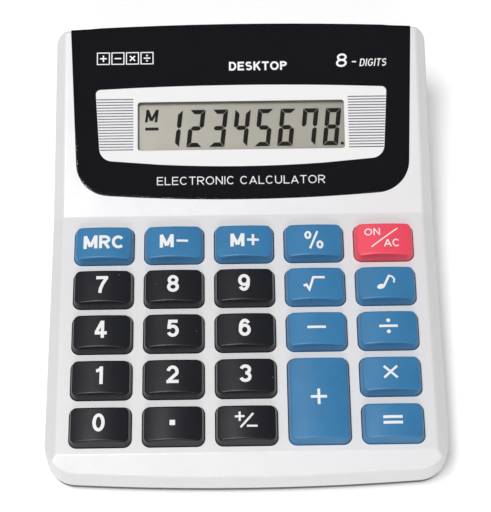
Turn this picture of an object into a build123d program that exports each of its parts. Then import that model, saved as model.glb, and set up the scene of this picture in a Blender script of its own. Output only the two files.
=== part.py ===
from build123d import *
import os
from math import cos, radians, sin, tan

# Desk calculator: wedge-shaped two-part case, tilted keypad, steeper display, one AA cell.
# Millimetres. X is the width, +Y points away from the user, +Z is up.
# The origin is the middle of the footprint, on the surface that the feet stand on.

# ---- driving dimensions: case -----------------------------------------------------------
case_width = 118.2
case_length = 143.2
front_bow = 2.2
back_bow = 1.5
front_corner = 9.0
back_corner = 4.6
draft = 1.5
wall = 2.0
parting_z = 4.0
base_z = 0.8
base_inset = 0.2
base_taper = 3.0
base_edge = 0.9
lip_height = 2.4
lip_wall = 1.2
lip_gap = 0.2

# ---- driving dimensions: top surfaces ---------------------------------------------------
keypad_tilt = 5.0
display_tilt = 16.0
front_slope = 20.0
row_zero_y = -34.0
row_zero_z = 17.0
crease_run = 44.85
keypad_front_run = -30.6
display_run = 62.3
bevel_start = 55.4
bevel_drop = 0.48
bevel_inset = 0.35
ridge_radius = 2.0
rim_radius = 0.8
skin = 1.0

# ---- driving dimensions: keys -----------------------------------------------------------
column_pitch = 21.3
row_pitch = 14.32
key_width = 18.1
key_depth = 11.9
key_corner = 2.3
key_height = 4.0
key_taper = 13.5
key_crown_radius = 33.0
key_edge = 0.5
key_gap = 0.2
key_wall = 1.2
key_roof = 1.6
tab_width = 0.6
tab_length = 6.0
tab_gap = 0.1
tab_top = -(wall + tab_gap)
tab_thickness = 0.8
key_bottom = tab_top - tab_thickness
stem_radius = 2.2
stem_root = 0.4

# ---- driving dimensions: board and key mat ----------------------------------------------
board_top = -6.1
board_thickness = 1.6
board_half_width = 51.5
board_front_run = -29.2
board_back_run = 46.5
mat_thickness = 0.8
mat_back_run = 41.6
mat_hole_gap = 0.2
dome_radius = 3.2
dome_taper = 24.0
dome_gap = 0.05
cup_radius = 2.5
cup_depth = 1.4
cup_taper = 12.0
post_radius = 1.3
post_root = 1.0
board_screw_radius = 0.85
board_screw_head = 1.6
board_screw_depth = 2.8
small_head_height = 1.0

# ---- driving dimensions: display --------------------------------------------------------
recess_depth = 1.6
tape_thickness = 0.2
lens_thickness = 1.6
lens_gap = 0.1
lens_edge = 0.35
lens_trim = 0.05
tape_inset = 1.2
tape_trim = 1.5
lens_front_run = 5.1
lens_side_low = 51.3
lens_side_high = 53.8
lens_bow = 2.4
lens_corner = 10.5
window_width = 64.8
window_length = 15.7
window_centre_x = -0.35
window_centre_run = 29.15
window_margin = 1.5
window_wall = 1.8
window_floor_margin = 1.5
glass_width = 72.0
glass_length = 24.0
glass_margin = 3.0
polariser = 0.2
polariser_inset = 1.5
polariser_margin = 5.0
glass_thickness = 0.7
stack_gap = 0.1
ledge = 2.6
holder_length = 30.0
holder_width = 80.0
holder_depth = 3.6
holder_corner = 2.0
holder_fit = 0.3
holder_screw_x = 43.4
holder_ear = 4.0
holder_ear_top = 5.6
holder_boss_radius = 2.2
holder_screw_depth = 2.6
ribbon_width = 50.0
ribbon_thickness = 0.2
ribbon_slot = 1.0
ribbon_bend = 0.8

# ---- driving dimensions: battery --------------------------------------------------------
cell_radius = 7.1
cell_length = 49.2
nub_radius = 2.7
nub_length = 1.2
cell_edge = 0.8
cell_y = 44.0
bay_half_x = 28.8
bay_half_y = 7.7
cover_thickness = 1.8
cover_front_y = 33.0
cover_half_x = 31.0
cover_gap = 0.15
cover_length = 50.0
cover_fit = 0.05
tongue = 1.2
grip_run = 24.0
grip_pitch = 2.4
grip_depth = 0.5

# ---- driving dimensions: fastenings -----------------------------------------------------
case_screw_points = [(-46, -65.9), (46, -65.9), (-54.2, 13), (54.2, 13), (-52.5, 63), (52.5, 63)]
boss_z = 6.5
boss_radius = 2.6
case_screw_radius = 1.2
case_screw_depth = 4.3
case_screw_head = 2.3
screw_seat_z = 3.0
case_head_height = 1.5
counterbore = 2.5
hole_clearance = 0.15
pilot_clearance = 0.05
pilot_spare = 0.2

# ---- driving dimensions: small parts ----------------------------------------------------
foot_points = [(-46, -55), (46, -55), (-46, 55), (46, 55)]
foot_radius = 5.0
foot_seat = 0.4
foot_gap = 0.2
foot_edge = 0.4
tongue_z = 1.45
tongue_thickness = 0.7
contact_thickness = 0.4
contact_width = 11.0
contact_height = 13.0
contact_corner = 1.0
spring_wire = 0.35
spring_radius = 4.2
spring_pitch = 1.5
spring_cone = -14.0
lead_radius = 0.6
thin_lead = 0.4
lead_z = 15.5
lead_bend = 1.8
thin_lead_bend = 1.5
buzzer_place = (0, -22)
buzzer_radius = 13.5
buzzer_seat = 1.0
buzzer_wall = 1.1
buzzer_ledge = 1.2
buzzer_sheet = 0.25
sound_hole = 0.75
sound_circle = 4.2
chip_place = (12, 16)
chip_radius = 7.0
chip_height = 1.8
can_place = (-34, 20, -2.6)
can_radius = 2.5
can_length = 7.0
can_edge = 0.5
disc_places = [(-21, 18), (-21, 26)]
disc_radius = 2.4
disc_thickness = 1.8
disc_edge = 0.4
disc_lift = 0.6
disc_lead_x = 1.2
resistor_places = [(34, 10), (34, 15)]
resistor_radius = 1.1
resistor_half = 3.1
resistor_lift = 1.4
resistor_lead_x = 4.3
component_wire = 0.3

# ---- reach of the cutting bodies ----------------------------------------------------------
overshoot = 10.0
sky_z = 60.0

keypad = Plane(
    origin=(0, row_zero_y, row_zero_z),
    x_dir=(1, 0, 0),
    z_dir=(0, -sin(radians(keypad_tilt)), cos(radians(keypad_tilt))),
)
display = Plane(
    origin=keypad.from_local_coords((0, crease_run, 0)),
    x_dir=(1, 0, 0),
    z_dir=(0, -sin(radians(display_tilt)), cos(radians(display_tilt))),
)
crease_y = display.origin.Y
crease_z = display.origin.Z


def save(builder, name):
    builder.part.label = name
    export_step(builder.part, f"parts/{name}.step")


def plan_outline(inset):
    """Plan of the case, bowed at the front and the back, made smaller all round by inset."""
    half_x = case_width / 2 - inset
    half_y = case_length / 2 - inset
    with BuildSketch() as sketch:
        with BuildLine():
            front = ThreePointArc((-half_x, front_bow - half_y), (0, -half_y), (half_x, front_bow - half_y))
            right = Line(front @ 1, (half_x, half_y - back_bow))
            back = ThreePointArc(right @ 1, (0, half_y), (-half_x, half_y - back_bow))
            Line(back @ 1, front @ 0)
        make_face()
        fillet(sketch.vertices().group_by(Axis.Y)[0], front_corner - inset)
        fillet(sketch.vertices().sort_by(Axis.Y)[-2:], back_corner - inset / 2)
    return sketch.sketch


def case_block(inset, drop, bottom):
    """Solid from the bottom level up to the five top planes, lowered by drop."""
    front_edge = keypad.from_local_coords((0, keypad_front_run, 0))
    back_edge = display.from_local_coords((0, display_run + overshoot, 0))
    nose_y = -case_length / 2 - overshoot
    nose_z = front_edge.Z - (front_edge.Y - nose_y) * tan(radians(front_slope))
    bevel_x = bevel_start - inset * bevel_inset
    bevel_reach = case_width / 2 + overshoot
    with BuildPart() as block:
        add(plan_outline(inset).moved(Location((0, 0, bottom))))
        extrude(amount=sky_z - bottom, taper=draft)
        with BuildSketch(Plane.YZ):
            with BuildLine():
                Polyline(
                    (nose_y, nose_z - drop),
                    (front_edge.Y, front_edge.Z - drop),
                    (crease_y, crease_z - drop),
                    (back_edge.Y, back_edge.Z - drop),
                    (back_edge.Y, sky_z + overshoot),
                    (nose_y, sky_z + overshoot),
                    close=True,
                )
            make_face()
        extrude(amount=case_width, both=True, mode=Mode.SUBTRACT)
        for side in (-1, 1):
            for tilt, away in ((keypad_tilt, -1), (display_tilt, 1)):
                with BuildSketch(Plane.XZ.offset(-crease_y)):
                    with BuildLine():
                        Polyline(
                            (side * bevel_x, crease_z - drop),
                            (side * bevel_reach, crease_z - drop - (bevel_reach - bevel_x) * bevel_drop),
                            (side * bevel_reach, crease_z + 2 * overshoot),
                            (side * bevel_x, crease_z + 2 * overshoot),
                            close=True,
                        )
                    make_face()
                along = (0, away * cos(radians(tilt)), away * sin(radians(tilt)))
                extrude(amount=case_length, dir=along, mode=Mode.SUBTRACT)
    return block.part


def soften(block):
    """Round the ridges between the top faces, then the rim where they meet the side walls."""
    top = [face for face in block.faces() if face.normal_at().Z > 0.5]
    ridges = [edge for edge in block.edges() if sum(edge in face.edges() for face in top) == 2]
    block = block.fillet(ridge_radius, ridges)
    sides = [face for face in block.faces() if abs(face.normal_at().Z) < 0.1]
    rim = [edge for face in sides for edge in face.edges() if abs(edge.tangent_at(0.5).Z) < 0.9]
    return block.fillet(rim_radius, [edge for edge in rim if edge.center().Z > parting_z + 0.5])


def key_front_run(row):
    """Distance along the keypad from the middle row's front line to this row's front line."""
    return (2 - row) * row_pitch


def lens_outline(grow):
    """Lens outline on the display face: bowed lower edge, round lower corners, open end past the back."""
    far = display_run + overshoot
    flare = (lens_side_high - lens_side_low) / (display_run - lens_front_run)
    low = lens_side_low + grow
    high = low + flare * (far - lens_front_run)
    front = lens_front_run - grow
    with BuildSketch() as sketch:
        with BuildLine():
            lower = ThreePointArc((-low, front + lens_bow), (0, front), (low, front + lens_bow))
            Polyline(lower @ 1, (high, far), (-high, far), lower @ 0)
        make_face()
        fillet(sketch.vertices().group_by(Axis.Y)[0], lens_corner + grow)
    return sketch.sketch


def wire(points, radius, bend, name):
    """Round wire along straight runs with rounded corners."""
    with BuildPart() as lead:
        with BuildLine() as path:
            FilletPolyline(*points, radius=bend)
        with BuildSketch(Plane(origin=path.line @ 0, z_dir=path.line % 0)):
            Circle(radius)
        sweep()
    save(lead, name)


# ---- keys: name, column, front row, rows covered -----------------------------------------
key_table = [
    ("key_mrc", 0, 0, 1),
    ("key_m_minus", 1, 0, 1),
    ("key_m_plus", 2, 0, 1),
    ("key_percent", 3, 0, 1),
    ("key_on_ac", 4, 0, 1),
    ("key_7", 0, 1, 1),
    ("key_8", 1, 1, 1),
    ("key_9", 2, 1, 1),
    ("key_root", 3, 1, 1),
    ("key_note", 4, 1, 1),
    ("key_4", 0, 2, 1),
    ("key_5", 1, 2, 1),
    ("key_6", 2, 2, 1),
    ("key_minus", 3, 2, 1),
    ("key_divide", 4, 2, 1),
    ("key_1", 0, 3, 1),
    ("key_2", 1, 3, 1),
    ("key_3", 2, 3, 1),
    ("key_times", 4, 3, 1),
    ("key_0", 0, 4, 1),
    ("key_point", 1, 4, 1),
    ("key_sign", 2, 4, 1),
    ("key_plus", 3, 4, 2),
    ("key_equals", 4, 4, 1),
]


def key_place(column, row, rows):
    """Middle of a key on the keypad face, and its depth."""
    depth = key_depth + (rows - 1) * row_pitch
    return (column - 2) * column_pitch, key_front_run(row) + depth / 2, depth


key_places = [key_place(column, row, rows) for _, column, row, rows in key_table]


def make_key(name, centre_x, centre_run, depth):
    """Hollow moulded key: tapered crowned cap, straight skirt, two side tabs and a middle stem."""
    centre = keypad.from_local_coords((centre_x, centre_run, 0))
    base = Plane(origin=centre, x_dir=(1, 0, 0), z_dir=keypad.z_dir)
    section = Plane(origin=centre, x_dir=(1, 0, 0), z_dir=-keypad.y_dir)
    with BuildPart() as key:
        with BuildSketch(base):
            RectangleRounded(key_width, depth, key_corner)
        extrude(amount=key_height + key_roof, taper=key_taper)
        with BuildSketch(section):
            Rectangle(key_width * 2, key_height * 6)
            with Locations((0, key_height - key_crown_radius)):
                Circle(key_crown_radius, mode=Mode.SUBTRACT)
            with Locations((0, -key_height * 2)):
                Rectangle(key_width * 2, key_height * 4, mode=Mode.SUBTRACT)
        extrude(amount=depth, both=True, mode=Mode.SUBTRACT)
        crown = key.faces().sort_by(Axis(centre, keypad.z_dir))[-1]
        fillet(crown.edges(), key_edge)
        with BuildSketch(base.offset(key_bottom)):
            RectangleRounded(key_width, depth, key_corner)
        extrude(amount=-key_bottom)
        with BuildSketch(base.offset(key_bottom)):
            Rectangle(key_width + 2 * tab_width, tab_length)
        extrude(amount=tab_thickness)
        with BuildSketch(base.offset(key_bottom)):
            RectangleRounded(key_width - 2 * key_wall, depth - 2 * key_wall, key_corner - key_wall / 2)
        extrude(amount=key_height - key_bottom - key_roof, taper=key_taper / 2, mode=Mode.SUBTRACT)
        with BuildSketch(base.offset(key_bottom)):
            Circle(stem_radius)
        extrude(amount=key_height - key_bottom - key_roof + stem_root)
    save(key, name)


for (name, _, _, _), (centre_x, centre_run, depth) in zip(key_table, key_places):
    make_key(name, centre_x, centre_run, depth)

# ---- fastening points ---------------------------------------------------------------------
post_points = [
    (column * column_pitch, key_front_run(row) - (row_pitch - key_depth) / 2)
    for column in (-1.5, -0.5, 0.5, 1.5)
    for row in (0, 2)
]
holder_screw_points = [(-holder_screw_x, window_centre_run), (holder_screw_x, window_centre_run)]
window_centre = (window_centre_x, window_centre_run)

# ---- upper case ---------------------------------------------------------------------------
# thicker floor under the lens, and the screw bosses, kept inside the outer skin
with BuildPart() as bosses:
    with BuildSketch(display.offset(-recess_depth - window_wall)):
        add(lens_outline(window_floor_margin))
    extrude(amount=recess_depth + window_wall - skin)
    with BuildSketch(Plane.XY.offset(boss_z)):
        with Locations(*case_screw_points):
            Circle(boss_radius)
    extrude(amount=sky_z)
    add(case_block(skin, skin, parting_z), mode=Mode.INTERSECT)

with BuildPart() as upper_case:
    add(soften(case_block(0, 0, parting_z)))
    add(case_block(wall, wall, parting_z - skin), mode=Mode.SUBTRACT)
    add(bosses.part)

    with BuildSketch(display.offset(-holder_ear_top)):
        with Locations(*holder_screw_points):
            Circle(holder_boss_radius)
    extrude(amount=holder_ear_top - recess_depth - skin / 2)
    with BuildSketch(keypad.offset(board_top)):
        with Locations(*post_points):
            Circle(post_radius)
    extrude(amount=-board_top - post_root)

    # openings
    for centre_x, centre_run, depth in key_places:
        with BuildSketch(keypad):
            with Locations((centre_x, centre_run)):
                RectangleRounded(key_width + 2 * key_gap, depth + 2 * key_gap, key_corner + key_gap)
        extrude(amount=overshoot / 2, both=True, mode=Mode.SUBTRACT)
    with BuildSketch(display.offset(-recess_depth)):
        add(lens_outline(lens_gap))
    extrude(amount=overshoot, mode=Mode.SUBTRACT)
    with BuildSketch(display.offset(-recess_depth)):
        with Locations(window_centre):
            RectangleRounded(window_width + 2 * window_margin, window_length + 2 * window_margin, 1)
    extrude(amount=overshoot / 2, both=True, mode=Mode.SUBTRACT)

    # pilot holes
    with BuildSketch(Plane.XY.offset(boss_z)):
        with Locations(*case_screw_points):
            Circle(case_screw_radius + pilot_clearance)
    extrude(amount=case_screw_depth + pilot_spare, mode=Mode.SUBTRACT)
    with BuildSketch(keypad.offset(board_top)):
        with Locations(*post_points):
            Circle(board_screw_radius + pilot_clearance)
    extrude(amount=board_screw_depth + pilot_spare, mode=Mode.SUBTRACT)
    with BuildSketch(display.offset(-holder_ear_top)):
        with Locations(*holder_screw_points):
            Circle(board_screw_radius + pilot_clearance)
    extrude(amount=holder_screw_depth + pilot_spare, mode=Mode.SUBTRACT)
save(upper_case, "upper_case")

# ---- display lens and its tape ------------------------------------------------------------
with BuildPart() as display_lens:
    with BuildSketch(display.offset(tape_thickness - recess_depth)):
        add(lens_outline(0))
    extrude(amount=lens_thickness)
    add(case_block(lens_trim, -overshoot, parting_z), mode=Mode.INTERSECT)
    lens_top = display_lens.faces().sort_by(Axis(display.origin, display.z_dir))[-1]
    fillet(lens_top.edges(), lens_edge)
save(display_lens, "display_lens")

with BuildPart() as lens_tape:
    with BuildSketch(display.offset(-recess_depth)):
        add(lens_outline(-tape_inset))
        with Locations(window_centre):
            Rectangle(window_width + 4 * window_margin, window_length + 4 * window_margin, mode=Mode.SUBTRACT)
    extrude(amount=tape_thickness)
    add(case_block(tape_trim, -overshoot, parting_z), mode=Mode.INTERSECT)
save(lens_tape, "lens_tape")

# ---- liquid crystal display ---------------------------------------------------------------
glass_back_run = window_centre_run + window_length / 2 + glass_margin
glass_front_run = glass_back_run - glass_length
glass_centre_run = glass_back_run - glass_length / 2


def glass_sheet(name, top, thickness, width, length):
    """Flat sheet of the display stack, its back edge in line with the others."""
    with BuildPart() as sheet:
        with BuildSketch(display.offset(-top - thickness)):
            with Locations((window_centre_x, glass_back_run - length / 2)):
                Rectangle(width, length)
        extrude(amount=thickness)
    save(sheet, name)


stack_top = recess_depth + window_wall + stack_gap
front_glass_top = stack_top + polariser
rear_glass_top = front_glass_top + glass_thickness
reflector_top = rear_glass_top + glass_thickness
stack_bottom = reflector_top + polariser
film_width = glass_width - polariser_inset
film_length = window_length + polariser_margin
glass_sheet("lcd_front_polariser", stack_top, polariser, film_width, film_length)
glass_sheet("lcd_front_glass", front_glass_top, glass_thickness, glass_width, glass_length)
glass_sheet("lcd_rear_glass", rear_glass_top, glass_thickness, glass_width, glass_length - ledge)
glass_sheet("lcd_reflector", reflector_top, polariser, film_width, film_length)

holder_top = recess_depth + window_wall
holder_bottom = holder_top + holder_depth
ribbon_opening = holder_bottom - rear_glass_top + 2 * ribbon_thickness
with BuildPart() as lcd_holder:
    with BuildSketch(display.offset(-holder_bottom)):
        with Locations((0, glass_centre_run)):
            RectangleRounded(holder_width, holder_length, holder_corner)
    extrude(amount=holder_depth)
    with BuildSketch(display.offset(-holder_bottom)):
        with Locations(*holder_screw_points):
            RectangleRounded(2 * holder_ear, 2 * holder_ear, holder_corner)
    extrude(amount=holder_bottom - holder_ear_top)
    with BuildSketch(display.offset(-stack_bottom - stack_gap)):
        with Locations((window_centre_x, glass_centre_run)):
            Rectangle(glass_width + holder_fit, glass_length + holder_fit)
    extrude(amount=holder_depth, mode=Mode.SUBTRACT)
    with BuildSketch(display.offset(-holder_bottom)):
        with Locations((0, glass_front_run)):
            Rectangle(ribbon_width + 2 * ribbon_slot, 2 * ledge + ribbon_slot)
        with Locations((0, glass_front_run - ledge)):
            Rectangle(ribbon_width + 2 * ribbon_slot, 2 * ledge)
    extrude(amount=ribbon_opening, mode=Mode.SUBTRACT)
    with BuildSketch(display.offset(-holder_bottom)):
        with Locations(*holder_screw_points):
            Circle(board_screw_radius + hole_clearance)
    extrude(amount=holder_depth, mode=Mode.SUBTRACT)
    with BuildSketch(display.offset(-holder_ear_top)):
        with Locations(*holder_screw_points):
            Circle(holder_boss_radius + hole_clearance)
    extrude(amount=holder_depth, mode=Mode.SUBTRACT)
save(lcd_holder, "lcd_holder")

ribbon_level = -rear_glass_top - ribbon_thickness / 2
board_level = board_top + ribbon_thickness / 2
ribbon_points = [
    display.from_local_coords((0, glass_front_run + ledge - 0.4, ribbon_level)),
    display.from_local_coords((0, glass_front_run - 1.4, ribbon_level)),
    keypad.from_local_coords((0, board_back_run + 1, board_level)),
    keypad.from_local_coords((0, board_back_run - 3.3, board_level)),
]
with BuildPart() as lcd_ribbon:
    with BuildSketch(Plane.YZ):
        with BuildLine():
            FilletPolyline(*[(point.Y, point.Z) for point in ribbon_points], radius=ribbon_bend)
        trace(line_width=ribbon_thickness)
    extrude(amount=ribbon_width / 2, both=True)
save(lcd_ribbon, "lcd_ribbon")


def screw_set(name, plane, points, shank, depth, head, head_height):
    """Pan-head screws: heads below the plane, shanks above it."""
    with BuildPart() as screws:
        with BuildSketch(plane.offset(-head_height)):
            with Locations(*points):
                Circle(head)
        extrude(amount=head_height)
        fillet(screws.edges().group_by(Axis(plane.origin, plane.z_dir))[0], head_height * 0.4)
        with BuildSketch(plane.offset(-head_height)):
            with Locations(*points):
                Rectangle(head * 1.1, head * 0.28)
                Rectangle(head * 0.28, head * 1.1)
        extrude(amount=head_height * 0.55, mode=Mode.SUBTRACT)
        with BuildSketch(plane):
            with Locations(*points):
                Circle(shank)
        extrude(amount=depth)
        chamfer(screws.edges().group_by(Axis(plane.origin, plane.z_dir))[-1], shank * 0.4)
    save(screws, name)


screw_set(
    "lcd_screws",
    display.offset(-holder_bottom),
    holder_screw_points,
    board_screw_radius,
    holder_bottom - holder_ear_top + holder_screw_depth,
    board_screw_head,
    small_head_height,
)

# ---- key mat and board --------------------------------------------------------------------
with BuildPart() as key_mat:
    with BuildSketch(keypad.offset(board_top)):
        with Locations((0, (board_front_run + mat_back_run) / 2)):
            RectangleRounded(2 * board_half_width, mat_back_run - board_front_run, 1.5)
        with Locations(*post_points):
            Circle(post_radius + mat_hole_gap, mode=Mode.SUBTRACT)
    extrude(amount=mat_thickness)
    for centre_x, centre_run, _ in key_places:
        with BuildSketch(keypad.offset(board_top + mat_thickness)):
            with Locations((centre_x, centre_run)):
                Circle(dome_radius)
        extrude(amount=key_bottom - dome_gap - board_top - mat_thickness, taper=dome_taper)
        with BuildSketch(keypad.offset(board_top)):
            with Locations((centre_x, centre_run)):
                Circle(cup_radius)
        extrude(amount=cup_depth, taper=cup_taper, mode=Mode.SUBTRACT)
save(key_mat, "key_mat")

board_length = board_back_run - board_front_run
board_centre_run = (board_front_run + board_back_run) / 2
board_bottom = board_top - board_thickness
with BuildPart() as main_board:
    with BuildSketch(keypad.offset(board_bottom)):
        with Locations((0, board_centre_run)):
            Rectangle(2 * board_half_width, board_length)
        with Locations(*post_points):
            Circle(board_screw_radius + hole_clearance, mode=Mode.SUBTRACT)
    extrude(amount=board_thickness)
save(main_board, "main_board")

screw_set(
    "board_screws",
    keypad.offset(board_bottom),
    post_points,
    board_screw_radius,
    board_thickness + board_screw_depth,
    board_screw_head,
    small_head_height,
)

below_board = keypad.offset(board_bottom)
with BuildPart() as chip_blob:
    with BuildSketch(below_board):
        with Locations(chip_place):
            Circle(chip_radius)
    extrude(amount=-chip_height)
    fillet(chip_blob.edges().group_by(Axis(below_board.origin, below_board.z_dir))[0], chip_height * 0.8)
save(chip_blob, "chip_blob")

can_end = Plane(origin=below_board.from_local_coords(can_place), x_dir=keypad.y_dir, z_dir=(1, 0, 0))
with BuildPart() as filter_capacitor:
    with BuildSketch(can_end):
        Circle(can_radius)
    extrude(amount=can_length)
    fillet(filter_capacitor.edges(), can_edge)
save(filter_capacitor, "filter_capacitor")

with BuildPart() as disc_capacitors:
    with BuildSketch(below_board.offset(-disc_lift)):
        with Locations(*disc_places):
            Circle(disc_radius)
    extrude(amount=-disc_thickness)
    fillet(disc_capacitors.edges(), disc_edge)
    with BuildSketch(below_board.offset(-disc_lift - disc_thickness / 2)):
        for disc_x, disc_run in disc_places:
            with Locations((disc_x - disc_lead_x, disc_run), (disc_x + disc_lead_x, disc_run)):
                Circle(component_wire)
    extrude(amount=disc_lift + disc_thickness / 2)
save(disc_capacitors, "disc_capacitors")

with BuildPart() as board_resistors:
    for resistor_x, resistor_run in resistor_places:
        axis_point = below_board.from_local_coords((resistor_x, resistor_run, -resistor_lift))
        middle = Plane(origin=axis_point, x_dir=keypad.y_dir, z_dir=(1, 0, 0))
        lead_points = [(resistor_x + side * resistor_lead_x, resistor_run) for side in (-1, 1)]
        with BuildSketch(middle):
            Circle(resistor_radius)
        extrude(amount=resistor_half, both=True)
        with BuildSketch(middle):
            Circle(component_wire)
        extrude(amount=resistor_lead_x + component_wire, both=True)
        with BuildSketch(below_board.offset(-resistor_lift - component_wire)):
            with Locations(*lead_points):
                Circle(component_wire)
        extrude(amount=resistor_lift + component_wire)
save(board_resistors, "board_resistors")

# ---- lower case ---------------------------------------------------------------------------
floor_z = base_z + wall
cover_top = base_z + cover_thickness
pad_z = cover_top + 1.6
cell_z = cover_top + 0.3 + cell_radius
bay_top = cell_z + cell_radius + 0.4
lip_z = parting_z + lip_height
post_z = base_z + 0.5
seat_z = floor_z + buzzer_seat
bay_wall = 1.3
pad_margin = 3.5
cover_centre = (0, cover_front_y + cover_length / 2)


def base_block():
    """Outer body of the lower case, its bottom edge rounded."""
    with BuildPart() as base:
        with BuildSketch(Plane.XY.offset(parting_z)):
            add(plan_outline(base_inset))
        extrude(amount=base_z - parting_z, taper=base_taper)
        fillet(base.faces().sort_by(Axis.Z)[0].edges(), base_edge)
    return base.part


def inside_lip(part):
    """Keep only what lies inside the outer face of the lip."""
    with BuildPart() as limit:
        with BuildSketch():
            add(plan_outline(wall + lip_gap))
        extrude(amount=sky_z)
        add(part, mode=Mode.INTERSECT)
    return limit.part


# screw posts, buzzer seat, battery bay and the thick floor over the cover
with BuildPart() as posts:
    with BuildSketch(Plane.XY.offset(post_z)):
        with Locations(*case_screw_points):
            Circle(counterbore + 1)
    extrude(amount=boss_z - post_z)
    with BuildSketch(Plane.XY.offset(post_z)):
        with Locations(buzzer_place):
            Circle(buzzer_radius + buzzer_wall)
    extrude(amount=seat_z + buzzer_sheet - post_z)
    with BuildSketch(Plane.XY.offset(post_z)):
        with Locations((0, (cover_front_y + case_length / 2) / 2)):
            Rectangle(2 * (cover_half_x + pad_margin), case_length / 2 - cover_front_y + pad_margin)
    extrude(amount=pad_z - post_z)
    with BuildSketch(Plane.XY.offset(post_z)):
        with Locations((0, cell_y)):
            RectangleRounded(2 * (bay_half_x + bay_wall), 2 * (bay_half_y + bay_wall), 1)
    extrude(amount=bay_top + bay_wall - post_z)

with BuildPart() as lower_case:
    add(base_block())
    with BuildSketch(Plane.XY.offset(floor_z)):
        add(plan_outline(wall + lip_gap))
    extrude(amount=lip_z - floor_z)
    with BuildSketch(Plane.XY.offset(floor_z)):
        add(plan_outline(wall + lip_gap + lip_wall))
    extrude(amount=lip_z - floor_z, mode=Mode.SUBTRACT)
    add(inside_lip(posts.part))

    # seat of the buzzer and its sound holes
    with BuildSketch(Plane.XY.offset(seat_z)):
        with Locations(buzzer_place):
            Circle(buzzer_radius + 0.1)
    extrude(amount=overshoot / 2, mode=Mode.SUBTRACT)
    with BuildSketch(Plane.XY.offset(floor_z)):
        with Locations(buzzer_place):
            Circle(buzzer_radius - buzzer_ledge)
    extrude(amount=overshoot / 2, mode=Mode.SUBTRACT)
    with BuildSketch():
        with Locations(buzzer_place):
            with PolarLocations(sound_circle, 6):
                Circle(sound_hole)
            Circle(sound_hole)
    extrude(amount=seat_z, mode=Mode.SUBTRACT)

    # battery opening, cover channel and its side grooves
    with BuildSketch():
        with Locations(cover_centre):
            Rectangle(2 * cover_half_x, cover_length)
    extrude(amount=cover_top + cover_fit, mode=Mode.SUBTRACT)
    with BuildSketch(Plane.XY.offset(tongue_z - cover_gap)):
        with Locations(cover_centre):
            Rectangle(2 * (cover_half_x + tongue), cover_length)
    extrude(amount=tongue_thickness + 2 * cover_gap, mode=Mode.SUBTRACT)
    with BuildSketch():
        with Locations((0, cell_y)):
            Rectangle(2 * bay_half_x, 2 * bay_half_y)
    extrude(amount=bay_top, mode=Mode.SUBTRACT)
    with BuildSketch(Plane.YZ):
        with Locations((cell_y, lead_z)):
            Circle(1)
    extrude(amount=bay_half_x + 2 * bay_wall, both=True, mode=Mode.SUBTRACT)

    # screw holes with counterbores, and the seats of the feet
    with BuildSketch():
        with Locations(*case_screw_points):
            Circle(counterbore)
    extrude(amount=screw_seat_z, mode=Mode.SUBTRACT)
    with BuildSketch():
        with Locations(*case_screw_points):
            Circle(case_screw_radius + hole_clearance)
    extrude(amount=boss_z + 1, mode=Mode.SUBTRACT)
    with BuildSketch():
        with Locations(*foot_points):
            Circle(foot_radius + foot_gap)
    extrude(amount=base_z + foot_seat, mode=Mode.SUBTRACT)
save(lower_case, "lower_case")

screw_set(
    "case_screws",
    Plane.XY.offset(screw_seat_z),
    case_screw_points,
    case_screw_radius,
    boss_z - screw_seat_z + case_screw_depth,
    case_screw_head,
    case_head_height,
)

with BuildPart() as rubber_feet:
    with BuildSketch():
        with Locations(*foot_points):
            Circle(foot_radius)
    extrude(amount=base_z + foot_seat)
    fillet(rubber_feet.edges().group_by(Axis.Z)[0], foot_edge)
save(rubber_feet, "rubber_feet")

# ---- battery cover: slides off over the back edge -----------------------------------------
with BuildPart() as battery_cover:
    with BuildSketch(Plane.XY.offset(base_z)):
        with Locations((0, cover_front_y + cover_gap + cover_length / 2)):
            Rectangle(2 * (cover_half_x - cover_gap), cover_length)
    extrude(amount=cover_thickness - cover_fit)
    with BuildSketch(Plane.XY.offset(tongue_z)):
        with Locations((0, cover_front_y + cover_gap + cover_length / 2)):
            Rectangle(2 * (cover_half_x + tongue - cover_gap), cover_length)
    extrude(amount=tongue_thickness)
    add(base_block(), mode=Mode.INTERSECT)
    with BuildSketch(Plane.XY.offset(base_z)):
        with Locations((0, cover_front_y + grip_run)):
            with GridLocations(0, grip_pitch, 1, 5):
                SlotOverall(16, grip_pitch / 2)
    extrude(amount=grip_depth, mode=Mode.SUBTRACT)
save(battery_cover, "battery_cover")

# ---- battery and its contacts -------------------------------------------------------------
plate_x = bay_half_x - 0.5
cell_end_x = plate_x - nub_length
with BuildPart() as battery_cell:
    with BuildSketch(Plane(origin=(cell_end_x - cell_length, cell_y, cell_z), z_dir=(1, 0, 0))):
        Circle(cell_radius)
    extrude(amount=cell_length)
    fillet(battery_cell.edges(), cell_edge)
    with BuildSketch(Plane(origin=(cell_end_x, cell_y, cell_z), z_dir=(1, 0, 0))):
        Circle(nub_radius)
    extrude(amount=nub_length)
save(battery_cell, "battery_cell")

across = Plane(origin=(0, cell_y, cell_z), x_dir=(0, 1, 0), z_dir=(1, 0, 0))
with BuildPart() as battery_plate:
    with BuildSketch(across.offset(plate_x)):
        RectangleRounded(contact_width, contact_height, contact_corner)
    extrude(amount=contact_thickness)
save(battery_plate, "battery_plate")

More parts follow.
